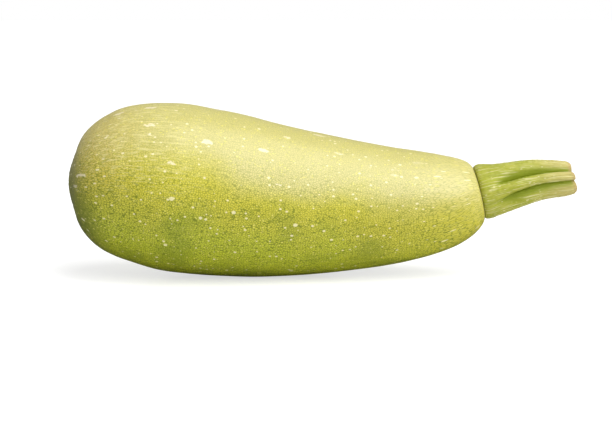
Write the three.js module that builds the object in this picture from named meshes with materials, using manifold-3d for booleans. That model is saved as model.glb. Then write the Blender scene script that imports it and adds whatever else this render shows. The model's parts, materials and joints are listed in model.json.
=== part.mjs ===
// A pale green courgette, picked and lying on its side, built as it grew:
//   fruit  one solid, widest near the blossom end and bent a little along its length
//   stem   the short five-ridged stalk it was cut by, standing on a small seat at the neck
// Millimetres, +Z up. The long axis runs along X with the stem toward +X, and the
// origin is on the ground under the middle of the whole length.

import * as THREE from 'three';
import * as BufferGeometryUtils from 'three/addons/utils/BufferGeometryUtils.js';
import Module from 'manifold-3d';

// The axis of fruit and stem together, as [distance along the ground, height].
const AXIS_POINTS = [
  [0, 36.4],
  [14, 35.8],
  [30, 35],
  [50, 32.4],
  [75, 29],
  [100, 27.3],
  [125, 26.9],
  [142, 28.6],
  [155.6, 31.8],
  [167, 34.6],
  [178, 36.6],
  [191, 37.4],
];

// Fruit radius along the axis, as [distance from the blossom end, radius]. It starts
// in the middle of the dished blossom scar and ends at the rim of the stem's seat.
const FRUIT_PROFILE = [
  [0.9, 0],
  [0, 4.2],
  [1.7, 10.6],
  [4.6, 17.8],
  [9.5, 23.2],
  [17, 27.6],
  [26, 30.3],
  [38, 32.1],
  [50, 32.1],
  [66, 30.9],
  [84, 28.4],
  [103, 25.6],
  [121, 22.7],
  [135, 20.1],
  [146, 17.2],
  [152, 14.6],
  [155.6, 11.9],
  [156.8, 9.9],
];
const FRUIT_RINGS = 44;
const FRUIT_SIDES = 60;

// Soft shoulder ribs run back from the neck and fade out before the widest part.
const RIB_COUNT = 5;
const RIB_HEIGHT = 0.35;
const RIB_START = 85;
const RIB_FULL = 140;

// Gap left between the seat and the stem.
const STEM_GAP = 0.3;
// Stem radius over its ridges, as [distance from the seat, radius].
const STEM_PROFILE = [[0, 10], [3, 10.5], [9, 10.2], [18, 9.2], [27, 7.9], [34, 7.1], [35.6, 6]];
const STEM_RINGS = 22;
const STEM_SIDES = 60;

// The five grooves, as angles from straight up turning toward -Y, in degrees.
const GROOVE_ANGLES = [-14, 62, 118, 194, 270];
const GROOVE_HALF_WIDTH = 24;
const GROOVE_DEPTH = 2.6;
// The grooves start this far from the seat and are full depth by the second value.
const GROOVE_START = 4;
const GROOVE_FULL = 22;
// The grooves turn back toward straight up by this many degrees per millimetre.
const GROOVE_TWIST = 0.4;
// Slope of the cut: the upper side is shorter than the lower side.
const CUT_SLOPE = 0.24;
const CUT_REACH = 12;

const wasm = await Module();
wasm.setup();

// A smooth curve through points given as [along, across] pairs.
function curveThrough(pairs) {
  const points = pairs.map(([along, across]) => new THREE.Vector3(along, 0, across));
  return new THREE.CatmullRomCurve3(points, false, 'centripetal');
}

const AXIS = curveThrough(AXIS_POINTS);
const AXIS_LENGTH = AXIS.getLength();

// A closed body turned about +Y from a profile of [distance, radius] pairs.
function turnedBody(profile, rings, sides) {
  const outline = curveThrough(profile)
    .getSpacedPoints(rings)
    .map((point) => new THREE.Vector2(point.z, point.x));
  const first = outline[0];
  const last = outline[rings];
  if (first.x > 0) {
    outline.unshift(new THREE.Vector2(0, first.y));
  }
  outline.push(new THREE.Vector2(0, last.y));
  return new THREE.LatheGeometry(outline, sides);
}

// Lays a turned body along the axis, its foot at a given distance from the blossom end.
// reshape(along, angle, radius) returns [radius, slide along the axis]; the angle is
// measured from straight up and turns toward -Y.
function layAlongAxis(geometry, foot, reshape) {
  const position = geometry.getAttribute('position');
  const up = new THREE.Vector3();
  for (let i = 0; i < position.count; i += 1) {
    const along = position.getY(i);
    const angle = Math.atan2(position.getX(i), position.getZ(i));
    const turned = Math.hypot(position.getX(i), position.getZ(i));
    const [radius, slide] = reshape(along, angle, turned);
    const distance = foot + along;
    const onAxis = THREE.MathUtils.clamp(distance, 0, AXIS_LENGTH);
    const centre = AXIS.getPointAt(onAxis / AXIS_LENGTH);
    const forward = AXIS.getTangentAt(onAxis / AXIS_LENGTH);
    up.set(-forward.z, 0, forward.x);
    centre.addScaledVector(up, radius * Math.cos(angle));
    centre.addScaledVector(forward, distance - onAxis + slide);
    position.setXYZ(i, centre.x, -radius * Math.sin(angle), centre.z);
  }
  return geometry;
}

// The solid of a geometry, its doubled corners shared.
function solidFrom(geometry) {
  geometry.deleteAttribute('normal');
  geometry.deleteAttribute('uv');
  const merged = BufferGeometryUtils.mergeVertices(geometry);
  return new wasm.Manifold(new wasm.Mesh({
    numProp: 3,
    vertProperties: new Float32Array(merged.getAttribute('position').array),
    triVerts: new Uint32Array(merged.getIndex().array),
  }));
}

// The geometry of a solid.
function geometryFrom(solid) {
  const { vertProperties, triVerts } = solid.getMesh();
  const geometry = new THREE.BufferGeometry();
  geometry.setAttribute('position', new THREE.BufferAttribute(vertProperties, 3));
  geometry.setIndex(new THREE.BufferAttribute(triVerts, 1));
  geometry.computeVertexNormals();
  return geometry;
}

// The fruit: bent along the axis, softly ribbed at the neck, pressed flat where it rests.
function buildFruit() {
  const turned = turnedBody(FRUIT_PROFILE, FRUIT_RINGS, FRUIT_SIDES);
  const seatRadius = FRUIT_PROFILE.at(-1)[1];
  const body = layAlongAxis(turned, 0, (along, angle, radius) => {
    const neck = THREE.MathUtils.smoothstep(along, RIB_START, RIB_FULL);
    const offSeat = THREE.MathUtils.smoothstep(radius, seatRadius, seatRadius + 4);
    const rib = RIB_HEIGHT * neck * offSeat * Math.cos(RIB_COUNT * angle);
    return [radius + rib, 0];
  });
  const ground = new THREE.BoxGeometry(500, 200, 50);
  ground.translate(0, 0, -25);
  const material = new THREE.MeshStandardMaterial({ color: 0xc3c452, roughness: 0.42, metalness: 0 });
  const fruit = new THREE.Mesh(geometryFrom(solidFrom(body).subtract(solidFrom(ground))), material);
  fruit.name = 'fruit';
  return fruit;
}

// Depth of the grooves below the ridges at one place on the stem.
function grooveDepth(along, angle) {
  const deepening = THREE.MathUtils.smoothstep(along, GROOVE_START, GROOVE_FULL);
  const degrees = THREE.MathUtils.radToDeg(angle) + GROOVE_TWIST * along;
  const cuts = GROOVE_ANGLES.map((groove) => {
    const away = Math.abs(THREE.MathUtils.euclideanModulo(degrees - groove + 180, 360) - 180);
    return 1 - THREE.MathUtils.smoothstep(away, 0, GROOVE_HALF_WIDTH);
  });
  return GROOVE_DEPTH * deepening * Math.max(...cuts);
}

// The stem: tapered, five-ridged and cut off at a slant.
function buildStem() {
  const length = STEM_PROFILE.at(-1)[0];
  const turned = turnedBody(STEM_PROFILE, STEM_RINGS, STEM_SIDES);
  const foot = FRUIT_PROFILE.at(-1)[0] + STEM_GAP;
  const body = layAlongAxis(turned, foot, (along, angle, radius) => {
    const ridged = radius > 0 ? radius - grooveDepth(along, angle) : 0;
    const nearCut = THREE.MathUtils.smoothstep(along, length - CUT_REACH, length);
    return [ridged, -CUT_SLOPE * nearCut * ridged * Math.cos(angle)];
  });
  const material = new THREE.MeshStandardMaterial({ color: 0xb4b544, roughness: 0.6, metalness: 0 });
  const stem = new THREE.Mesh(geometryFrom(solidFrom(body)), material);
  stem.name = 'stem';
  return stem;
}

const courgette = new THREE.Group();
courgette.add(buildFruit(), buildStem());
const extent = new THREE.Box3().setFromObject(courgette);
courgette.position.x = -(extent.min.x + extent.max.x) / 2;

export default courgette;
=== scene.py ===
"""A pale green courgette lying on its side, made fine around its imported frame.

The fruit and its cut stem are turned about the long axis, bent along it and given
their relief in the mesh; the skin and the rind are procedural finishes that follow
the way the surface grew.
"""

import json
import logging
import math
from bisect import bisect_right
from dataclasses import dataclass, field
from enum import Enum
from functools import cache
from typing import Any, Callable

import bmesh
import bpy
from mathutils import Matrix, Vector, noise


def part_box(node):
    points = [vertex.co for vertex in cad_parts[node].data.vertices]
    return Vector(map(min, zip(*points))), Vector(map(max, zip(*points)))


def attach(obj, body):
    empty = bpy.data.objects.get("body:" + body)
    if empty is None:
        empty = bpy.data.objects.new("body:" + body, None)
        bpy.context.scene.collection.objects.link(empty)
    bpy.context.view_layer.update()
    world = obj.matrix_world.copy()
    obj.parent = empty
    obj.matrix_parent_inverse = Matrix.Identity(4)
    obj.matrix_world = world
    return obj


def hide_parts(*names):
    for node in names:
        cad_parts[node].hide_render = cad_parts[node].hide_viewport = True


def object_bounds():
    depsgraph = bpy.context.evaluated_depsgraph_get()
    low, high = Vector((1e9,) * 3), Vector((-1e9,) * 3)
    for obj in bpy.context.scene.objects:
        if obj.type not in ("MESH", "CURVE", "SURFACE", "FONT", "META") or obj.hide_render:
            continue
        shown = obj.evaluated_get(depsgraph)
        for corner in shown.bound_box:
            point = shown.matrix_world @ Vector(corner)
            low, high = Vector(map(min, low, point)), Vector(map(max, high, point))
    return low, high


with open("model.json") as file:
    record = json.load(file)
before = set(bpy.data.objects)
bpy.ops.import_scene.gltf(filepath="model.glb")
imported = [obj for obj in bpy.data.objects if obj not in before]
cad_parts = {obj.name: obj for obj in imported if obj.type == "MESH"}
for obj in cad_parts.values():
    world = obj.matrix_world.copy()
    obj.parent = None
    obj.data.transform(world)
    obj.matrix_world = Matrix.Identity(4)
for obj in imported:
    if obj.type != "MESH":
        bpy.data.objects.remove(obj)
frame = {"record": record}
CAD_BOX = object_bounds()

MM = 0.001
TAU = 2 * math.pi
MERGE_DISTANCE = 1e-7
POLE_REACH = 1e-4
SEAM_REACH = 1e-5
BAKE_MARGIN = 0.004
LOG = logging.getLogger("courgette")


class Node(Enum):
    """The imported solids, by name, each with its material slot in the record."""

    FRUIT = "fruit"
    STEM = "stem"

    @property
    def slot(self) -> str:
        """The record's material slot of this solid."""
        slots = {part["node"]: part["material_slot"] for part in frame["record"]["subparts"]}
        return slots[self.value]


class Layer(Enum):
    """The mesh attributes that the finishes read."""

    GROWTH = "growth"
    CUT = "cut"
    BAKE = "OFBake"


# --------------------------------------------------------------------------- helpers


def ease(low: float, high: float, value: float) -> float:
    """Smooth step.

    Args:
        low: Value at which the step starts.
        high: Value at which it is complete; it may be below low.
        value: Where to read it.

    Returns:
        0 before low, 1 past high, and a smooth rise between.
    """
    share = min(max((value - low) / (high - low), 0.0), 1.0)
    return share * share * (3 - 2 * share)


def linear(hex_colour: str) -> tuple[float, float, float, float]:
    """Turns an sRGB hex colour to linear light.

    Args:
        hex_colour: Such as "#c3c452".

    Returns:
        Linear red, green, blue and an alpha of 1.
    """
    values = [int(hex_colour[i:i + 2], 16) / 255 for i in (1, 3, 5)]
    parts = [v / 12.92 if v <= 0.04045 else ((v + 0.055) / 1.055) ** 2.4 for v in values]
    return parts[0], parts[1], parts[2], 1.0


def ripple(place: Vector, size: float) -> float:
    """Smooth noise of one size.

    Args:
        place: Where to read it, in millimetres.
        size: Distance from one swell to the next, in millimetres.

    Returns:
        A value from about -1 to 1.
    """
    return noise.noise(place / size)


class SmoothLine:
    """A smooth line in a plane through a few points, measured by its own length."""

    STEPS = 40

    def __init__(self, points: list[tuple[float, float]]) -> None:
        """Samples the line.

        Args:
            points: The points it passes through, as (along, across).
        """
        ends = [Vector(p) for p in points]
        ends = [2 * ends[0] - ends[1], *ends, 2 * ends[-1] - ends[-2]]
        self._places = [ends[1]]
        for i in range(len(points) - 1):
            span = ends[i:i + 4]
            self._places += [self._between(span, (k + 1) / self.STEPS) for k in range(self.STEPS)]
        self._lengths = [0.0]
        for a, b in zip(self._places, self._places[1:]):
            self._lengths.append(self._lengths[-1] + (b - a).length)
        count = len(self._places)
        self._headings = [
            (self._places[min(i + 1, count - 1)] - self._places[max(i - 1, 0)]).normalized()
            for i in range(count)
        ]

    @staticmethod
    def _between(span: list[Vector], share: float) -> Vector:
        """One place between the middle two of four points.

        Args:
            span: Four points in a row.
            share: How far it is from the second point to the third, from 0 to 1.

        Returns:
            The place on the centripetal spline through them.
        """
        before, start, end, after = span
        d0, d1, d2 = (math.sqrt((b - a).length) for a, b in zip(span, span[1:]))
        leave = ((start - before) / d0 - (end - before) / (d0 + d1)) * d1 + (end - start)
        reach = (end - start) + ((after - end) / d2 - (after - start) / (d1 + d2)) * d1
        s2, s3 = share * share, share ** 3
        return (
            start * (2 * s3 - 3 * s2 + 1)
            + leave * (s3 - 2 * s2 + share)
            + end * (3 * s2 - 2 * s3)
            + reach * (s3 - s2)
        )

    @property
    def length(self) -> float:
        """The whole length of the line."""
        return self._lengths[-1]

    def _read(self, values: list[Vector], distance: float) -> Vector:
        """One of the sampled values at a distance along the line.

        Args:
            values: A value for each sample.
            distance: How far along the line.

        Returns:
            The value there, between the nearest samples.
        """
        distance = min(max(distance, 0.0), self.length)
        i = min(bisect_right(self._lengths, distance), len(self._lengths) - 1)
        low, high = self._lengths[i - 1], self._lengths[i]
        return values[i - 1].lerp(values[i], (distance - low) / (high - low))

    @cache
    def at(self, distance: float) -> Vector:
        """The place at a distance along the line."""
        return self._read(self._places, distance)

    @cache
    def heading(self, distance: float) -> Vector:
        """The direction of the line at a distance along it."""
        return self._read(self._headings, distance).normalized()


@dataclass(frozen=True)
class Spot:
    """One place on a turned body before it is bent, in millimetres.

    Attributes:
        path: Distance from the body's first point over its surface.
        along: Distance along the axis from the body's foot.
        radius: Distance from the axis.
        angle: Angle from straight up, turning toward -Y.
    """

    path: float
    along: float
    radius: float
    angle: float

    def around(self, radius: float) -> Vector:
        """This spot's place on a straight cylinder of some radius, for patterns."""
        return Vector((self.path, radius * math.cos(self.angle), radius * math.sin(self.angle)))


@dataclass
class Courgette:
    """The sizes that fruit and stem share: the long axis, in millimetres.

    Attributes:
        axis_points: The axis from the blossom end to the cut, as (distance, height).
        shift: How far the axis is moved along X to stand in the frame, in metres.
    """

    axis_points: list[tuple[float, float]] = field(default_factory=lambda: [
        (0, 36.4), (14, 35.8), (30, 35), (50, 32.4), (75, 29), (100, 27.3),
        (125, 26.9), (142, 28.6), (155.6, 31.8), (167, 34.6), (178, 36.6), (191, 37.4),
    ])
    shift: float = field(init=False)

    def __post_init__(self) -> None:
        """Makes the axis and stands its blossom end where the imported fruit's is."""
        self.axis = SmoothLine(self.axis_points)
        self.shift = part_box(Node.FRUIT.value)[0].x

    def place(self, distance: float, radius: float, angle: float, slide: float = 0.0) -> Vector:
        """A place beside the axis.

        Args:
            distance: How far along the axis.
            radius: How far from it.
            angle: Angle from straight up, turning toward -Y.
            slide: A further move along the axis' direction.

        Returns:
            The place in the frame, in metres.
        """
        on_axis = min(max(distance, 0.0), self.axis.length)
        centre = self.axis.at(on_axis)
        ahead = self.axis.heading(on_axis)
        reach = distance - on_axis + slide
        up = radius * math.cos(angle)
        x = centre.x + ahead.x * reach - ahead.y * up
        z = centre.y + ahead.y * reach + ahead.x * up
        return Vector((x * MM + self.shift, -radius * math.sin(angle) * MM, z * MM))


def turned_mesh(
    name: str,
    outline: SmoothLine,
    rings: int,
    sides: int,
    shape: Callable[[Spot], Vector],
    layers: dict[Layer, Callable[[Spot], Vector]],
) -> bpy.types.Mesh:
    """Rolls a sheet of skin round the axis, then moves each vertex to its final place.

    Args:
        name: Name of the mesh.
        outline: The outline as (along, radius), both of its ends on the axis.
        rings: Number of steps along the outline.
        sides: Number of steps round the axis.
        shape: Gives each spot's final place, in metres.
        layers: For each layer that the finish reads, what gives a spot's value.

    Returns:
        A closed mesh with those layers and a bake map.
    """
    bm = bmesh.new()
    bmesh.ops.create_grid(bm, x_segments=rings, y_segments=sides, size=1)
    path_layer = bm.verts.layers.float.new("path")
    angle_layer = bm.verts.layers.float.new("angle")
    for layer in layers:
        bm.verts.layers.float_vector.new(layer.value)
    writers = [(bm.verts.layers.float_vector[layer.value], value) for layer, value in layers.items()]
    for vert in bm.verts:
        path = round((vert.co.x + 1) / 2 * rings) / rings * outline.length
        along, radius = outline.at(path)
        spot = Spot(path, along, max(radius, 0.0), vert.co.y * math.pi)
        vert[path_layer] = spot.path
        vert[angle_layer] = spot.angle
        for layer, value in writers:
            vert[layer] = value(spot)
        vert.co = shape(spot)
    bmesh.ops.remove_doubles(bm, verts=bm.verts[:], dist=MERGE_DISTANCE)
    bmesh.ops.recalc_face_normals(bm, faces=bm.faces[:])
    unwrap(bm, path_layer, angle_layer, outline.length)
    for face in bm.faces:
        face.smooth = True
    mesh = bpy.data.meshes.new(name)
    bm.to_mesh(mesh)
    bm.free()
    return mesh


def unwrap(bm: bmesh.types.BMesh, path_layer: Any, angle_layer: Any, length: float) -> None:
    """Rolls a turned body out flat, with its seam along the underside.

    A pole has no angle of its own, so each face takes it at the middle of its other
    corners. A face that crosses the seam is carried on past it.

    Args:
        bm: The turned body.
        path_layer: Each vertex's distance over the surface.
        angle_layer: Each vertex's angle from straight up.
        length: The whole distance over the surface.
    """
    uv_layer = bm.loops.layers.uv.new(Layer.BAKE.value)
    for face in bm.faces:
        turns = {}
        for loop in face.loops:
            path = loop.vert[path_layer]
            if POLE_REACH < path < length - POLE_REACH:
                turn = loop.vert[angle_layer] / TAU + 0.5
                turns[loop] = 0.0 if turn > 1 - SEAM_REACH else turn
        if max(turns.values()) - min(turns.values()) > 0.5:
            turns = {loop: turn + 1 if turn < 0.5 else turn for loop, turn in turns.items()}
        middle = sum(turns.values()) / len(turns)
        for loop in face.loops:
            share = loop.vert[path_layer] / length
            turn = turns.get(loop, middle)
            loop[uv_layer].uv = [BAKE_MARGIN + (1 - 2 * BAKE_MARGIN) * v for v in (share, turn)]


def piece_from(mesh: bpy.types.Mesh, node: Node, material: bpy.types.Material) -> bpy.types.Object:
    """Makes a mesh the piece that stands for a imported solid.

    Args:
        mesh: The finished mesh, in place.
        node: The solid it stands for.
        material: Its finish.

    Returns:
        The piece.
    """
    piece = bpy.data.objects.new(mesh.name, mesh)
    bpy.context.scene.collection.objects.link(piece)
    mesh.materials.append(material)
    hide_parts(node.value)
    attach(piece, "root")
    node.slot
    return piece


# -------------------------------------------------------------------------- finishes


Shade = bpy.types.Node | bpy.types.NodeSocket | float
Sizes = tuple[float, float, float]
Span = tuple[float, float]
SMOOTH = {"interpolation_type": "SMOOTHSTEP"}


class Brush:
    """Lays out one node tree: patterns in real millimetres, and colours over them."""

    def __init__(self, tree: bpy.types.NodeTree) -> None:
        """Empties the tree."""
        self.tree = tree
        self.tree.nodes.clear()

    def add(self, kind: str, inputs: dict[str, Any] | tuple = (), **settings: Any) -> bpy.types.Node:
        """Adds a node with its settings, values and links.

        Args:
            kind: Node type, without "ShaderNode".
            inputs: Values, nodes or sockets, by input name or in the inputs' own order.
            settings: Properties of the node itself.

        Returns:
            The new node.
        """
        node = self.tree.nodes.new("ShaderNode" + kind)
        for name, value in settings.items():
            setattr(node, name, value)
        used = [socket for socket in node.inputs if socket.enabled]
        pairs = inputs.items() if isinstance(inputs, dict) else zip(used, inputs)
        for key, value in pairs:
            socket = node.inputs[key] if isinstance(key, str) else key
            if isinstance(value, bpy.types.Node):
                value = next(output for output in value.outputs if output.enabled)
            if isinstance(value, bpy.types.NodeSocket):
                self.tree.links.new(value, socket)
            else:
                socket.default_value = value
        return node

    def clouds(self, place: Shade, sizes: Sizes, detail: float) -> bpy.types.Node:
        """Cloudy noise with swells of some size.

        Args:
            place: Where the pattern is read, in millimetres.
            sizes: Size of a swell along each axis.
            detail: How many finer layers ride on the swells.

        Returns:
            Noise from 0 to 1.
        """
        scale = tuple(1 / size for size in sizes)
        at = self.add("Mapping", {"Vector": place, "Scale": scale})
        return self.add("TexNoise", {"Vector": at, "Scale": 1.0, "Detail": detail, "Roughness": 0.55})

    def specks(
        self, place: Shade, spacing: Sizes, share: float, largest: float, edge: float
    ) -> bpy.types.Node:
        """Scattered round spots of many sizes.

        Args:
            place: Where the pattern is read, in millimetres.
            spacing: Distance from spot to spot along each axis.
            share: Share of the places that hold a spot.
            largest: Radius of the largest, as a share of the spacing.
            edge: Width of a spot's soft edge, as a share of the spacing.

        Returns:
            A mask, 1 inside a spot.
        """
        scale = tuple(1 / size for size in spacing)
        at = self.add("Mapping", {"Vector": place, "Scale": scale})
        cells = self.add("TexVoronoi", {"Vector": at, "Scale": 1.0, "Randomness": 1.0})
        draw = self.add("SeparateColor", (cells.outputs["Color"],)).outputs["Red"]
        radius = self.add("MapRange", (draw, 1 - share, 1.0, -edge, largest))
        outer = self.add("Math", (radius, edge), operation="ADD")
        return self.add("MapRange", (cells, radius, outer, 1.0, 0.0), **SMOOTH)

    def painted(self, ground: Shade, layers: list[tuple[Shade, str]]) -> Shade:
        """Lays colours over one another.

        Args:
            ground: The colour underneath.
            layers: From the lowest up, where each colour lies and its hex colour.

        Returns:
            The colour on top.
        """
        for mask, colour in layers:
            ground = self.add("Mix", (mask, ground, linear(colour)), data_type="RGBA")
        return ground

    def finish(self, inputs: dict[str, Any]) -> None:
        """Closes a material's tree with the surface shader and what its inputs hold."""
        self.add("OutputMaterial", {"Surface": self.add("BsdfPrincipled", inputs)})


def new_material(name: str) -> tuple[bpy.types.Material, Brush]:
    """Starts a material.

    Args:
        name: What the real material is and how its surface was made.

    Returns:
        The material and the brush that fills it.
    """
    material = bpy.data.materials.new(name)
    material.use_nodes = True
    return material, Brush(material.node_tree)


@dataclass(frozen=True)
class WaxySkin:
    """Skin of a young pale courgette, grown, with its thin natural wax left on.

    The wax gives one broad soft highlight. Under it the skin is yellow-green, broken
    by fine pale cells in rows along the fruit and by cream pores of many sizes. Toward
    the top it is gold and then straw coloured, and the belly is greener: partly the
    skin's own tone, partly painted light from above and painted shade below. The
    blossom end is darkened, most on its lower side, as painted shade.
    """

    leaf: str = "#b8bd2a"
    # gold and straw lie toward the top: partly the skin's own tone, partly painted light from above;
    # leaf, below them, is partly painted shade.
    gold: str = "#c4bb38"
    straw: str = "#c4bb71"
    shade: str = "#7e8c1c"
    # Painted shade: the dark tone laid on the lower blossom end.
    olive_shade: str = "#565c28"
    ochre: str = "#c8b05a"
    line: str = "#6c780a"
    cell: str = "#dcd364"
    streak: str = "#dcd394"
    pore: str = "#e8e0b2"
    smear: str = "#efe4c6"
    scar: str = "#897b49"

    # Sizes of the patterns in millimetres, those with three values along the fruit and
    # twice across it. The finest grain of a real skin is too fine to show and would
    # blur to one tone, so the cells are drawn as coarse as they need to show.
    cell_mm: float = 0.64
    streak_mm: Sizes = (4.5, 0.5, 0.5)
    small_pore_mm: Sizes = (2.2, 1.7, 1.7)
    middle_pore_mm: Sizes = (5.2, 4.4, 4.4)
    smear_mm: Sizes = (9.5, 4.0, 4.0)
    tear_mm: float = 2.2
    scar_edge_mm: Span = (0.8, 2.2)
    patch_mm: float = 34.0
    shade_patch_mm: Sizes = (22.0, 15.0, 15.0)
    wax_cloud_mm: Sizes = (9.0, 6.0, 6.0)
    grain_depth_mm: float = 0.08

    # Where each change of colour begins and where it is complete, in metres. The last
    # four lie along the fruit, the others up it.
    gold_zone: Span = (0.022, 0.042)
    straw_zone: Span = (0.043, 0.059)
    shade_zone: Span = (0.034, 0.016)
    green_zone: Span = (0.05, 0.02)
    ochre_zone: Span = (0.03, 0.045)
    smear_zone: Span = (0.03, 0.04)
    pale_zone: Span = (0.02, 0.04)
    tip_zone: Span = (-0.078, -0.065)
    shoulder_zone: Span = (-0.06, -0.087)
    streaked_ends: Span = (0.03, 0.07)
    smeared_length: Span = (0.04, -0.02)

    # How far the zones lean up toward the neck or over the tip, and wander in and out.
    neck_lean: float = 0.15
    tip_lean: float = 0.33
    paling_drift: float = 0.03
    tip_drift: float = 0.012

    # How fully each colour covers what is under it; the lines, on the upper side, where
    # they are weaker partly as painted highlight, and on the belly.
    shade_cover: float = 0.55
    olive_shade_cover: float = 0.72
    ochre_cover: float = 0.5
    cell_cover: float = 0.7
    line_cover: Span = (0.3, 0.9)
    streak_cover: float = 0.6
    pore_cover: float = 0.75
    smear_cover: float = 0.65

    # Typical values of a natural wax over a watery skin, matched to this one. Light
    # goes a little way in and comes out yellow.
    wax_roughness: float = 0.38
    wax_coat: float = 0.1
    coat_roughness: float = 0.34
    skin_ior: float = 1.5
    grain_strength: float = 0.22
    inner_light: float = 0.1
    inner_light_reach: Sizes = (1.0, 0.9, 0.25)
    inner_light_mm: float = 0.6

    def ground(self, b: Brush, grown: Shade, place: Shade) -> tuple[Shade, Shade]:
        """The colour under the cells and pores.

        Args:
            b: The skin's brush.
            grown: The growth layer.
            place: The place in the frame, in metres.

        Returns:
            The colour, in broad soft patches, and a height that grows toward the top and
            the neck.
        """
        x, _, z = b.add("SeparateXYZ", (place,)).outputs
        drift = b.clouds(grown, (self.patch_mm,) * 3, 3)
        side = b.add("Math", (x, self.neck_lean, z), operation="MULTIPLY_ADD")
        # The skin turns gold, then straw, with height and toward the neck: partly its own tone,
        # partly painted light from above, and the greener belly partly painted shade.
        paling_height = b.add("Math", (drift, self.paling_drift, side), operation="MULTIPLY_ADD")
        gold = b.add("MapRange", (paling_height, *self.gold_zone), **SMOOTH)
        straw = b.add("MapRange", (paling_height, *self.straw_zone), **SMOOTH)
        low = b.add("MapRange", (side, *self.shade_zone), **SMOOTH)
        patches = b.clouds(grown, self.shade_patch_mm, 3)
        patches = b.add("MapRange", (patches, 0.48, 0.66, 0.0, self.shade_cover), **SMOOTH)
        patches = b.add("Math", (patches, low), operation="MULTIPLY")
        # Painted shade: the blossom end is darkened, more toward its lower side.
        tip = b.add("Math", (drift, self.tip_drift, x), operation="MULTIPLY_ADD")
        tip = b.add("Math", (z, self.tip_lean, tip), operation="MULTIPLY_ADD")
        olive_shade = b.add("MapRange", (tip, *self.tip_zone, self.olive_shade_cover, 0.0), **SMOOTH)
        shoulder = b.add("MapRange", (x, *self.shoulder_zone), **SMOOTH)
        upper = b.add("MapRange", (z, *self.ochre_zone, 0.0, self.ochre_cover), **SMOOTH)
        ochre = b.add("Math", (shoulder, upper), operation="MULTIPLY")
        return b.painted(linear(self.leaf), [
            (gold, self.gold), (straw, self.straw), (ochre, self.ochre), (patches, self.shade),
            (olive_shade, self.olive_shade),
        ]), side

    def material(self) -> bpy.types.Material:
        """Builds the skin.

        Returns:
            The material, read through the growth layer.
        """
        # Live skin under its own thin wax: a soft sheen with no hard mirror image, over
        # a yellow-green that is lively close by and even from afar.
        material, b = new_material("waxy_courgette_skin")
        grown = b.add("Attribute", attribute_name=Layer.GROWTH.value).outputs["Vector"]
        place = b.add("TexCoord").outputs["Object"]
        along = b.add("SeparateXYZ", (grown,)).outputs["X"]
        x, _, z = b.add("SeparateXYZ", (place,)).outputs
        cell = self.cell_mm
        ground, side = self.ground(b, grown, place)

        # The deep green lines between the small cells give the fine lively grain. They
        # fade toward the top, where the cells are as pale as what is round them; the fading
        # there also stands in for the highlight washing them out, as painted highlight.
        at = b.add("Mapping", {"Vector": grown, "Scale": (0.8 / cell, 1 / cell, 1 / cell)})
        walls = b.add(
            "TexVoronoi", {"Vector": at, "Scale": 1.0, "Randomness": 0.85},
            feature="DISTANCE_TO_EDGE",
        )
        greener = b.add("MapRange", (side, *self.green_zone, *self.line_cover), **SMOOTH)
        lines = b.add("MapRange", (walls, 0.135, 0.045), **SMOOTH)
        lines = b.add("Math", (lines, greener), operation="MULTIPLY")
        cells = b.specks(grown, (1.5 * cell, 1.2 * cell, 1.2 * cell), 0.85, 0.36, 0.16)
        cells = b.add("Math", (cells, self.cell_cover), operation="MULTIPLY")

        # Toward both ends the rows of cells run together into fine pale streaks.
        streaks = b.clouds(grown, self.streak_mm, 2)
        streaks = b.add("MapRange", (streaks, 0.5, 0.64, 0.0, self.streak_cover), **SMOOTH)
        reach = b.add("Math", (x,), operation="ABSOLUTE")
        ends = b.add("MapRange", (reach, *self.streaked_ends), **SMOOTH)
        pale = b.add("MapRange", (side, *self.pale_zone))
        ends = b.add("Math", (ends, pale), operation="MULTIPLY")
        streaks = b.add("Math", (streaks, ends), operation="MULTIPLY")

        # Pores are round; the largest ones, on top, are torn into short smears.
        small = b.specks(grown, self.small_pore_mm, 0.75, 0.21, 0.08)
        middle = b.specks(grown, self.middle_pore_mm, 0.6, 0.13, 0.045)
        pores = b.add("Math", (small, middle), operation="MAXIMUM")
        torn = b.add("TexNoise", {"Vector": grown, "Scale": 0.7, "Detail": 3.0}).outputs["Color"]
        torn = b.add("VectorMath", (torn, (self.tear_mm,) * 3, grown), operation="MULTIPLY_ADD")
        smears = b.specks(torn, self.smear_mm, 0.85, 0.2, 0.08)
        upper = b.add("MapRange", (z, *self.smear_zone, 0.0, self.smear_cover), **SMOOTH)
        broad_end = b.add("MapRange", (x, *self.smeared_length, 0.2, 1.0))
        upper = b.add("Math", (upper, broad_end), operation="MULTIPLY")
        smears = b.add("Math", (smears, upper), operation="MULTIPLY")
        on_scar = b.add("MapRange", (along, *self.scar_edge_mm, 1.0, 0.0), **SMOOTH)
        pore_share = b.add("Math", (pores, self.pore_cover), operation="MULTIPLY")
        colour = b.painted(ground, [
            (cells, self.cell), (lines, self.line), (streaks, self.streak),
            (pore_share, self.pore), (smears, self.smear), (on_scar, self.scar),
        ])

        # The pores are shallow pits. The wax lies thinner in them and in soft clouds.
        grain = b.add("Math", (pores, -0.6, walls), operation="MULTIPLY_ADD")
        bump = b.add("Bump", {
            "Strength": self.grain_strength, "Distance": self.grain_depth_mm * MM, "Height": grain,
        })
        clouds = b.clouds(grown, self.wax_cloud_mm, 3)
        polished, worn = self.wax_roughness - 0.04, self.wax_roughness + 0.06
        rough = b.add("MapRange", (clouds, 0.3, 0.7, polished, worn))
        rough = b.add("Math", (pores, 0.12, rough), operation="MULTIPLY_ADD")
        b.finish({
            "Base Color": colour,
            "Roughness": rough,
            "IOR": self.skin_ior,
            "Coat Weight": self.wax_coat,
            "Coat Roughness": self.coat_roughness,
            "Subsurface Weight": self.inner_light,
            "Subsurface Radius": self.inner_light_reach,
            "Subsurface Scale": self.inner_light_mm * MM,
            "Normal": bump,
        })
        return material


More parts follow.
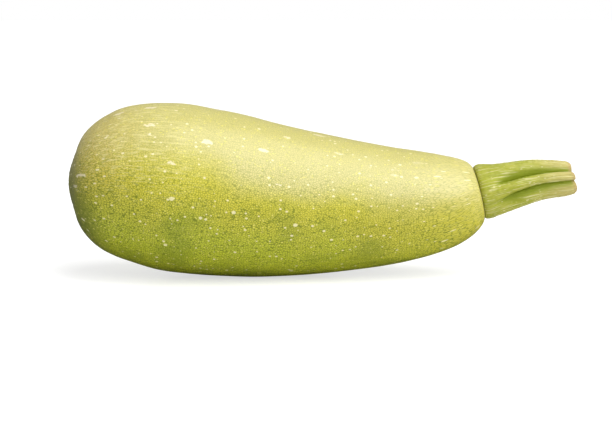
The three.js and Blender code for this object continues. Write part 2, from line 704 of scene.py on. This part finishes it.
@dataclass(frozen=True)
class StemRind:
    """Rind of a courgette's cut stem: fibrous, ridged and dull, with pale warts.

    The fibres give long fine lines, the valleys are painted a deeper green than the
    ridges, partly the rind's own colour and partly painted shade, and the end where it
    was cut has dried to cream with a brown edge.
    """

    rind: str = "#9ca02a"
    valley: str = "#7f8b08"
    crest: str = "#a9a845"
    wart: str = "#cdc88c"
    dried: str = "#bcab6e"
    brown: str = "#a78c5c"
    pith: str = "#d6cf9c"

    # Sizes of the patterns in millimetres, along the stem and twice across it.
    fibre_mm: Sizes = (6.05, 0.55, 0.55)
    pale_fibre_mm: Sizes = (7.7, 0.385, 0.385)
    stain_mm: Sizes = (5.0, 2.4, 2.4)
    wart_mm: Sizes = (1.9, 0.6, 0.6)
    wart_patch_mm: Sizes = (7.0, 3.0, 3.0)
    pith_mm: Sizes = (0.7, 0.7, 0.7)
    fibre_depth_mm: float = 0.18

    # Typical values of a dry plant rind, which has little wax and hardly shines.
    rind_ior: float = 1.42
    rind_roughness: Span = (0.56, 0.72)
    fibre_strength: float = 0.6
    inner_light: float = 0.08
    inner_light_reach: Sizes = (1.0, 0.9, 0.25)
    inner_light_mm: float = 1.0

    def material(self) -> bpy.types.Material:
        """Builds the rind and the cut face.

        Returns:
            The material, read through the growth and cut layers.
        """
        # Dry fibrous rind: dull, with fine long lines that show each ridge's direction,
        # and a cream face with a brown rim where the knife went through.
        material, b = new_material("ridged_stem_rind")
        grown = b.add("Attribute", attribute_name=Layer.GROWTH.value).outputs["Vector"]
        cut = b.add("Attribute", attribute_name=Layer.CUT.value).outputs["Vector"]
        on_cut, valley, to_end = b.add("SeparateXYZ", (cut,)).outputs

        # The crests between the fibres are paler. The valleys are painted deeper green,
        # partly the rind's own colour and partly painted shade, and the rind dries toward
        # the cut.
        fibres = b.clouds(grown, self.fibre_mm, 3)
        mottle = b.clouds(grown, self.stain_mm, 3)
        crest = b.add("MapRange", (fibres, 0.42, 0.62), **SMOOTH)
        stain = b.add("MapRange", (mottle, 0.4, 0.7, 0.0, 0.4), **SMOOTH)
        # Painted shade in the grooves, over a deeper green of the rind's own.
        groove_green_and_shade = b.add("MapRange", (valley, 0.1, 0.55), **SMOOTH)
        dry = b.add("MapRange", (to_end, 0.45, 1.0, 0.0, 0.7), **SMOOTH)

        # Pale warts in patches, and pale fibres, both on the open rind of the ridges.
        warts = b.specks(grown, self.wart_mm, 0.85, 0.26, 0.14)
        open_rind = b.add("MapRange", (valley, 0.2, 0.6, 1.0, 0.0), **SMOOTH)
        patchy = b.clouds(grown, self.wart_patch_mm, 2)
        patchy = b.add("MapRange", (patchy, 0.36, 0.55), **SMOOTH)
        warts = b.add("Math", (warts, open_rind), operation="MULTIPLY")
        warts = b.add("Math", (warts, patchy), operation="MULTIPLY")
        pale = b.clouds(grown, self.pale_fibre_mm, 2)
        pale = b.add("MapRange", (pale, 0.52, 0.66, 0.0, 0.75), **SMOOTH)
        pale = b.add("Math", (pale, open_rind), operation="MULTIPLY")

        # The cut face: grainy pith inside a dried brown edge.
        grain = b.clouds(grown, self.pith_mm, 3)
        grain = b.add("MapRange", (grain, 0.35, 0.7), **SMOOTH)
        edge = b.add("MapRange", (on_cut, 0.6, 0.1), **SMOOTH)
        face = b.painted(linear(self.pith), [(grain, self.dried), (edge, self.brown)])
        rim = b.add("MapRange", (to_end, 0.97, 1.0, 0.0, 0.6), **SMOOTH)
        tone = b.painted(linear(self.rind), [
            (crest, self.crest), (stain, self.valley), (dry, self.dried), (groove_green_and_shade, self.valley),
            (pale, self.wart), (warts, self.wart), (rim, self.brown),
        ])
        cut_share = b.add("MapRange", (on_cut, 0.0, 0.12), **SMOOTH)
        tone = b.add("Mix", (cut_share, tone, face), data_type="RGBA")

        height = b.add("Math", (warts, 0.5, fibres), operation="MULTIPLY_ADD")
        bump = b.add("Bump", {
            "Strength": self.fibre_strength, "Distance": self.fibre_depth_mm * MM, "Height": height,
        })
        b.finish({
            "Base Color": tone,
            "Roughness": b.add("MapRange", (fibres, 0.3, 0.7, *self.rind_roughness)),
            "IOR": self.rind_ior,
            "Subsurface Weight": self.inner_light,
            "Subsurface Radius": self.inner_light_reach,
            "Subsurface Scale": self.inner_light_mm * MM,
            "Normal": bump,
        })
        return material


@dataclass(frozen=True)
class PolishedTable:
    """A white lacquered table top, sprayed and lightly polished.

    It is white to the horizon and throws soft white light up under the courgette.
    """

    white: str = "#d0d0d0"
    thrown_back: str = "#f6f6f6"
    mirrored: str = "#3c3c3c"
    glow: float = 0.62
    roughness: float = 0.24
    lacquer_ior: float = 1.42

    def material(self) -> bpy.types.Material:
        """Builds the table's lacquer.

        Returns:
            The material. It is white where it is seen and in what it throws back on the
            courgette, and dark where the wax mirrors it, as dark cloth round the set
            would make it.
        """
        # Sprayed lacquer: an even white with no grain, in which nothing draws the eye.
        material, b = new_material("sprayed_white_lacquer")
        rays = b.add("LightPath")
        seen = rays.outputs["Is Camera Ray"]
        b.finish({
            "Base Color": b.painted(linear(self.thrown_back), [
                (rays.outputs["Is Glossy Ray"], self.mirrored), (seen, self.white),
            ]),
            "Roughness": self.roughness,
            "IOR": self.lacquer_ior,
            "Emission Color": linear("#ffffff"),
            "Emission Strength": b.add("Math", (seen, self.glow), operation="MULTIPLY"),
        })
        return material


# --------------------------------------------------------------------------- pieces


@dataclass
class Fruit:
    """The fruit: one body of skin from the blossom scar to the seat of the stem.

    Lengths are in millimetres; angles are from straight up, turning toward -Y.

    Attributes:
        body: The axis it lies along.
        outline_points: Its outline as (distance along the axis, radius).
        rings: Steps along the outline.
        sides: Steps round the fruit.
        rib_count: Number of soft shoulder ribs at the neck.
        rib_height: Their height at the neck.
        neck: Where along the axis the ribs begin, and where they are full.
        line_height: Height of the fine lines between the ribs.
        swells: Height and size of each set of soft swells, the broadest first.
        pucker_height: Height of the puckers round the scar.
        scar_radius: Radius of the blossom scar.
        scar_rim: Height and width of the rim round it.
        scar_roughness: Height of the dried crumbs on it.
        softness: How softly the resting patch is pressed into the rest of the skin.
    """

    body: Courgette
    outline_points: list[tuple[float, float]] = field(default_factory=lambda: [
        (0.9, 0), (0.3, 3), (0, 5), (1.7, 10.6), (4.6, 17.8), (9.5, 23.2), (17, 27.6),
        (26, 30.3), (38, 32.1), (50, 32.1), (66, 30.9), (84, 28.4), (103, 25.6),
        (121, 22.7), (135, 20.1), (146, 17.2), (152, 14.6), (155.6, 11.9), (156.9, 9.6),
        (157, 8), (157, 0),
    ])
    rings: int = 300
    sides: int = 320
    rib_count: int = 5
    rib_height: float = 0.35
    neck: Span = (85, 140)
    line_height: float = 0.07
    swells: tuple[Span, ...] = ((0.4, 38), (0.14, 13), (0.03, 4.5))
    pucker_height: float = 0.22
    scar_radius: float = 4.2
    scar_rim: Span = (0.3, 0.9)
    scar_roughness: float = 0.25
    softness: float = 0.2

    def __post_init__(self) -> None:
        """Makes the outline and measures how the growth pattern runs along it."""
        self.outline = SmoothLine(self.outline_points)
        self.growth_runs = [0.0]
        for i in range(math.ceil(self.outline.length)):
            self.growth_runs.append(self.growth_runs[-1] + 1 / self.stretch(i + 0.5))

    def stretch(self, path: float) -> float:
        """How much longer than wide the skin's cells are drawn.

        Args:
            path: Distance over the surface from the middle of the scar.

        Returns:
            Their length over their width, largest where the skin runs to its ends.
        """
        blossom = 1.3 * ease(50, 16, path)
        neck = 3.4 * ease(self.outline.length - 42, self.outline.length - 16, path)
        return 1.1 + blossom + neck

    def growth(self, spot: Spot) -> Vector:
        """Where a spot lies in the growth pattern: its rows close up toward the ends.

        Args:
            spot: The place on the turned body.

        Returns:
            The place in the pattern, in millimetres, along the skin first.
        """
        i = min(int(spot.path), len(self.growth_runs) - 2)
        low, high = self.growth_runs[i:i + 2]
        around = spot.around(19 + 0.3 * spot.radius)
        around.x = low + (high - low) * (spot.path - i)
        return around

    def relief(self, spot: Spot) -> float:
        """How far the skin stands proud of the plain turned body.

        Args:
            spot: The place on the turned body.

        Returns:
            The height, along the surface's normal.
        """
        place = Vector((
            spot.along,
            spot.radius * math.cos(spot.angle),
            spot.radius * math.sin(spot.angle),
        ))
        swell = sum(height * ripple(place, size) for height, size in self.swells)
        neck = ease(*self.neck, spot.along) * ease(9, 14, spot.radius)
        ribs = self.rib_height * neck * math.cos(self.rib_count * spot.angle)
        rows = spot.around(6.5)
        rows.x /= 14
        lines = self.line_height * neck * noise.noise(rows)
        pucker_zone = ease(2.5, 6, spot.path) * ease(20, 7, spot.path)
        pucker = noise.noise(spot.around(3.2) + Vector((9, 0, 0)))
        puckers = self.pucker_height * pucker_zone * pucker
        on_scar = ease(self.scar_radius + 1, self.scar_radius - 1, spot.path)
        rim_height, rim_width = self.scar_rim
        rim = rim_height * math.exp(-((spot.path - self.scar_radius) / rim_width) ** 2)
        rough = self.scar_roughness * on_scar * ripple(place, 1.2)
        return swell * (1 - on_scar) + ribs + lines + puckers + rim + rough

    def shape(self, spot: Spot) -> Vector:
        """The final place of a spot.

        Args:
            spot: The place on the turned body.

        Returns:
            The place in the frame, in metres, pressed flat where the fruit rests.
        """
        ahead = self.outline.heading(spot.path)
        height = self.relief(spot)

        # On the axis the relief may only slide a spot along it, so that every angle
        # meets in one point there and the skin is closed.
        off_axis = ease(0, 1, spot.radius)
        place = self.body.place(
            spot.along, spot.radius + off_axis * ahead.x * height, spot.angle, -ahead.y * height,
        )
        softness = self.softness * MM
        place.z = (place.z + math.sqrt(place.z ** 2 + softness ** 2)) / 2
        return place

    def build(self, skin: WaxySkin) -> bpy.types.Object:
        """Builds the fruit.

        Args:
            skin: Its finish.

        Returns:
            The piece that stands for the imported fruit.
        """
        mesh = turned_mesh(
            "fruit_skin", self.outline, self.rings, self.sides, self.shape,
            {Layer.GROWTH: self.growth},
        )
        return piece_from(mesh, Node.FRUIT, skin.material())


@dataclass
class Stem:
    """The stem: a five-ridged stalk with a dished, dried cut face.

    Lengths are in millimetres; angles are in degrees from straight up, toward -Y.

    Attributes:
        body: The axis it stands on.
        foot: Where it starts along the axis.
        outline_points: Its outline over the ridges, as (distance from the foot, radius).
        rim: Distance from the foot of the rim of the cut.
        grooves: Each groove's angle near the foot, halfway and at the cut.
        groove_depth: Depth of the grooves as a share of the radius.
        bend: Where the grooves begin to turn, and over what length they do.
        narrow_ridge: Which ridge, counted from 0 at the top, is narrow and steep.
        fibre_height: Height of the fibres in the rind.
        wart_height: Height of the warts on the ridges.
        cut_radius: Radius of the cut face, inside its rim.
        slant: Slope of the cut, leaning back at the top.
        wear: How far the lowest edge of the cut is worn back, as a share of the radius.
        lobe: How far each ridge stands out past the cut.
        cut_roughness: Height of the grain on the cut face.
        rings: Steps along the outline.
        sides: Steps round the stem.
    """

    body: Courgette
    foot: float = 156.85
    outline_points: list[tuple[float, float]] = field(default_factory=lambda: [
        (0.4, 0), (0.3, 6), (0, 8.9), (0.3, 10), (1.3, 10.5), (4, 10.5), (9, 10.2),
        (18, 9.2), (27, 7.9), (33, 7.2), (35.2, 6.6), (35.9, 5.8), (35.6, 4.6), (35, 2.6), (34.8, 0),
    ])
    rim: float = 35.2
    grooves: list[tuple[float, float, float]] = field(default_factory=lambda: [
        (-8, -14, -18), (76, 65, 57), (113, 99, 92), (192, 186, 180), (272, 266, 260),
    ])
    groove_depth: float = 0.31
    bend: Span = (6, 28)
    narrow_ridge: int = 1
    fibre_height: float = 0.22
    wart_height: float = 0.14
    cut_radius: float = 6.6
    slant: float = 0.24
    wear: float = 0.3
    lobe: float = 0.9
    cut_roughness: float = 0.5
    rings: int = 200
    sides: int = 220

    def __post_init__(self) -> None:
        """Makes the outline."""
        self.outline = SmoothLine(self.outline_points)

    def groove_angle(self, groove: tuple[float, float, float], along: float) -> float:
        """The angle of a groove at a distance from the foot.

        Args:
            groove: Its angle near the foot, halfway and at the cut.
            along: Distance from the foot.

        Returns:
            The angle in degrees, on a smooth bend through the three.
        """
        low, middle, high = groove
        start, length = self.bend
        t = min(max((along - start) / length, 0.0), 1.0)
        bow = 4 * t * (1 - t)
        return low + (high - low) * t + (middle - (low + high) / 2) * bow

    def ridge_share(self, along: float, angle: float) -> float:
        """How high a place stands between valley and crest.

        Args:
            along: Distance from the foot.
            angle: Angle in radians.

        Returns:
            0 in the bottom of a groove and 1 on the crest of a ridge.
        """
        lines = [self.groove_angle(groove, along) for groove in self.grooves]
        degrees = math.degrees(angle)
        while degrees < lines[0]:
            degrees += 360
        while degrees >= lines[0] + 360:
            degrees -= 360
        lines.append(lines[0] + 360)
        k = next(i for i in range(len(self.grooves)) if degrees < lines[i + 1])
        share = (degrees - lines[k]) / (lines[k + 1] - lines[k])
        roundness = 0.35 if k == self.narrow_ridge else 0.9
        return math.sin(math.pi * share) ** roundness

    def deepening(self, along: float) -> float:
        """How far the grooves have opened at a distance from the foot, from 0 to 1."""
        return ease(2, 13, along) * (1 - 0.3 * ease(18, 34, along))

    def on_cut(self, spot: Spot) -> float:
        """How far a spot is over the rim onto the cut face.

        Args:
            spot: The place on the turned body.

        Returns:
            0 on the rind and up to 1 in the middle of the cut face.
        """
        if spot.along < self.rim - 1 or spot.radius > self.cut_radius:
            return 0.0
        return ease(self.cut_radius, 1.0, spot.radius)

    def layers(self, spot: Spot) -> Vector:
        """What the finish needs: share on the cut face, in a valley, and toward the cut."""
        valley = (1 - self.ridge_share(spot.along, spot.angle)) * self.deepening(spot.along)
        return Vector((self.on_cut(spot), valley, min(max(spot.along / self.rim, 0), 1)))

    def growth(self, spot: Spot) -> Vector:
        """Where a spot lies in the rind's pattern: fibres run along the stem.

        Args:
            spot: The place on the turned body.

        Returns:
            The place in the pattern, in millimetres, along the stem first.
        """
        if self.on_cut(spot) > 0:
            place = spot.around(spot.radius)
            place.x = self.rim
            return place
        return Vector((spot.along, *spot.around(8.5).yz))

    def shape(self, spot: Spot) -> Vector:
        """The final place of a spot.

        Args:
            spot: The place on the turned body.

        Returns:
            The place in the frame, in metres, ridged and cut at a slant.
        """
        crest = self.ridge_share(spot.along, spot.angle)
        depth = self.groove_depth * self.deepening(spot.along) * (1 - crest)
        radius = spot.radius * (1 - depth)
        fibres = Vector((spot.along / 9, *spot.around(9).yz))
        warts = Vector((spot.along / 1.2, *spot.around(11).yz))
        rind = ease(5, 9, spot.radius + spot.along) * (1 - self.on_cut(spot))
        rise = self.fibre_height * noise.noise(fibres) + self.wart_height * noise.noise(warts) * crest
        radius += rind * rise

        # In the middle of the cut each move along the stem is nothing, or is the same
        # at every angle, so that all angles meet in one point and the face is closed.
        slant = self.slant * ease(self.rim - 13, self.rim, spot.along)
        at_end = ease(self.rim - 7, self.rim, spot.along)
        worn = self.wear * at_end * max(-math.cos(spot.angle), 0.0) ** 3
        lobes = self.lobe * at_end * crest * (1 - self.on_cut(spot))
        slide = -slant * radius * math.cos(spot.angle) - worn * radius + lobes
        slide += self.cut_roughness * self.on_cut(spot) * ripple(spot.around(spot.radius), 1.6)
        return self.body.place(self.foot + spot.along, radius, spot.angle, slide)

    def build(self, rind: StemRind) -> bpy.types.Object:
        """Builds the stem.

        Args:
            rind: Its finish.

        Returns:
            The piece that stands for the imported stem.
        """
        mesh = turned_mesh(
            "stem_rind", self.outline, self.rings, self.sides, self.shape,
            {Layer.GROWTH: self.growth, Layer.CUT: self.layers},
        )
        return piece_from(mesh, Node.STEM, rind.material())


# --------------------------------------------------------------------------- studio


@dataclass
class Studio:
    """A white table, soft lights and the camera.

    Lengths are in metres, angles in degrees and a light's strength in watts for each
    square metre that it falls on. A light's azimuth is 0 in front of the courgette, on
    the camera's side, and grows toward the stem.

    Attributes:
        table_radius: Radius of the round table top, large enough to reach the horizon.
        sky: Strength of the even light from all round.
        mirrored_sky: Strength of that light where a glossy surface mirrors it.
        lens: Focal length, in millimetres.
        sensor: Width of the sensor, in millimetres.
        sight: How far the camera sees.
        elevation: Height of the camera above the horizon.
        frame_width: Width of the view where the courgette lies.
        aside: How far the middle of the courgette lies right of the view's middle.
        above: How far it lies above the view's middle.
    """

    table_radius: float = 8.0
    sky: float = 0.36
    mirrored_sky: float = 0.3
    lens: float = 90.0
    sensor: float = 36.0
    sight: float = 50.0
    elevation: float = 8.0
    frame_width: float = 0.2340
    aside: float = 0.0067
    above: float = 0.0107

    def lay_table(self, top: PolishedTable) -> None:
        """Lays the table top at the frame's zero height.

        Args:
            top: Its finish.
        """
        bm = bmesh.new()
        bmesh.ops.create_circle(bm, cap_ends=True, segments=64, radius=self.table_radius)
        mesh = bpy.data.meshes.new("table_top")
        bm.to_mesh(mesh)
        bm.free()
        mesh.materials.append(top.material())
        table = bpy.data.objects.new("table_top", mesh)
        bpy.context.scene.collection.objects.link(table)

    def hang_light(
        self, name: str, azimuth: float, elevation: float, strength: float, spread: float
    ) -> None:
        """Hangs a broad light far off, so that the whole table is lit evenly.

        Args:
            name: Name of the light.
            azimuth: Where it hangs round the courgette.
            elevation: How high it hangs.
            strength: Its strength.
            spread: The angle that it fills, as seen from the courgette.
        """
        light = bpy.data.lights.new(name, "SUN")
        light.energy = strength
        light.angle = math.radians(spread)
        lamp = bpy.data.objects.new(name, light)
        a, e = math.radians(azimuth), math.radians(elevation)
        toward = Vector((math.sin(a) * math.cos(e), -math.cos(a) * math.cos(e), math.sin(e)))
        lamp.location = toward
        lamp.rotation_euler = toward.to_track_quat("Z", "Y").to_euler()
        bpy.context.scene.collection.objects.link(lamp)

    def light(self) -> None:
        """Lights the studio: an even white surround, and a tall soft key light in three parts."""
        world = bpy.data.worlds.new("white_surround")
        bpy.context.scene.world = world
        world.use_nodes = True
        b = Brush(world.node_tree)
        rays = b.add("LightPath")
        seen = b.add("MapRange", {
            "Value": rays.outputs["Is Glossy Ray"], "To Min": 1.0, "To Max": self.mirrored_sky,
        })
        strength = b.add("MapRange", {
            "Value": rays.outputs["Is Diffuse Ray"], "To Min": seen, "To Max": self.sky,
        })
        sky = b.add("Background", {"Color": (1.0, 1.0, 1.0, 1.0), "Strength": strength})
        b.add("OutputWorld", {"Surface": sky})
        self.hang_light("key_top", azimuth=70, elevation=67, strength=1.95, spread=50)
        self.hang_light("key_side", azimuth=44, elevation=42, strength=1.3, spread=52)
        self.hang_light("key_low", azimuth=40, elevation=25, strength=0.95, spread=44)

    def stand_camera(self) -> bpy.types.Object:
        """Stands the camera in front, looking along +Y and a little down.

        Returns:
            The camera.
        """
        data = bpy.data.cameras.new("camera")
        data.lens = self.lens
        data.sensor_width = self.sensor
        data.clip_end = self.sight
        distance = self.frame_width * self.lens / self.sensor
        e = math.radians(self.elevation)
        back = Vector((0, -math.cos(e), math.sin(e)))
        up = Vector((0, math.sin(e), math.cos(e)))
        middle = (CAD_BOX[0] + CAD_BOX[1]) / 2
        camera = bpy.data.objects.new("camera", data)
        camera.location = middle + back * distance - up * self.above - Vector((self.aside, 0, 0))
        camera.rotation_euler = back.to_track_quat("Z", "Y").to_euler()
        bpy.context.scene.collection.objects.link(camera)
        bpy.context.scene.camera = camera
        return camera


def main() -> None:
    """Builds the studio and the courgette, and reports each piece."""
    logging.basicConfig(level=logging.INFO, format="%(name)s: %(message)s")
    bpy.context.scene.view_settings.view_transform = "Standard"
    studio = Studio()
    studio.stand_camera()
    studio.lay_table(PolishedTable())
    studio.light()
    body = Courgette()
    for piece in (Fruit(body).build(WaxySkin()), Stem(body).build(StemRind())):
        mesh = piece.data
        LOG.info("%s: %d vertices, %d faces", piece.name, len(mesh.vertices), len(mesh.polygons))


if __name__ == "__main__":
    main()
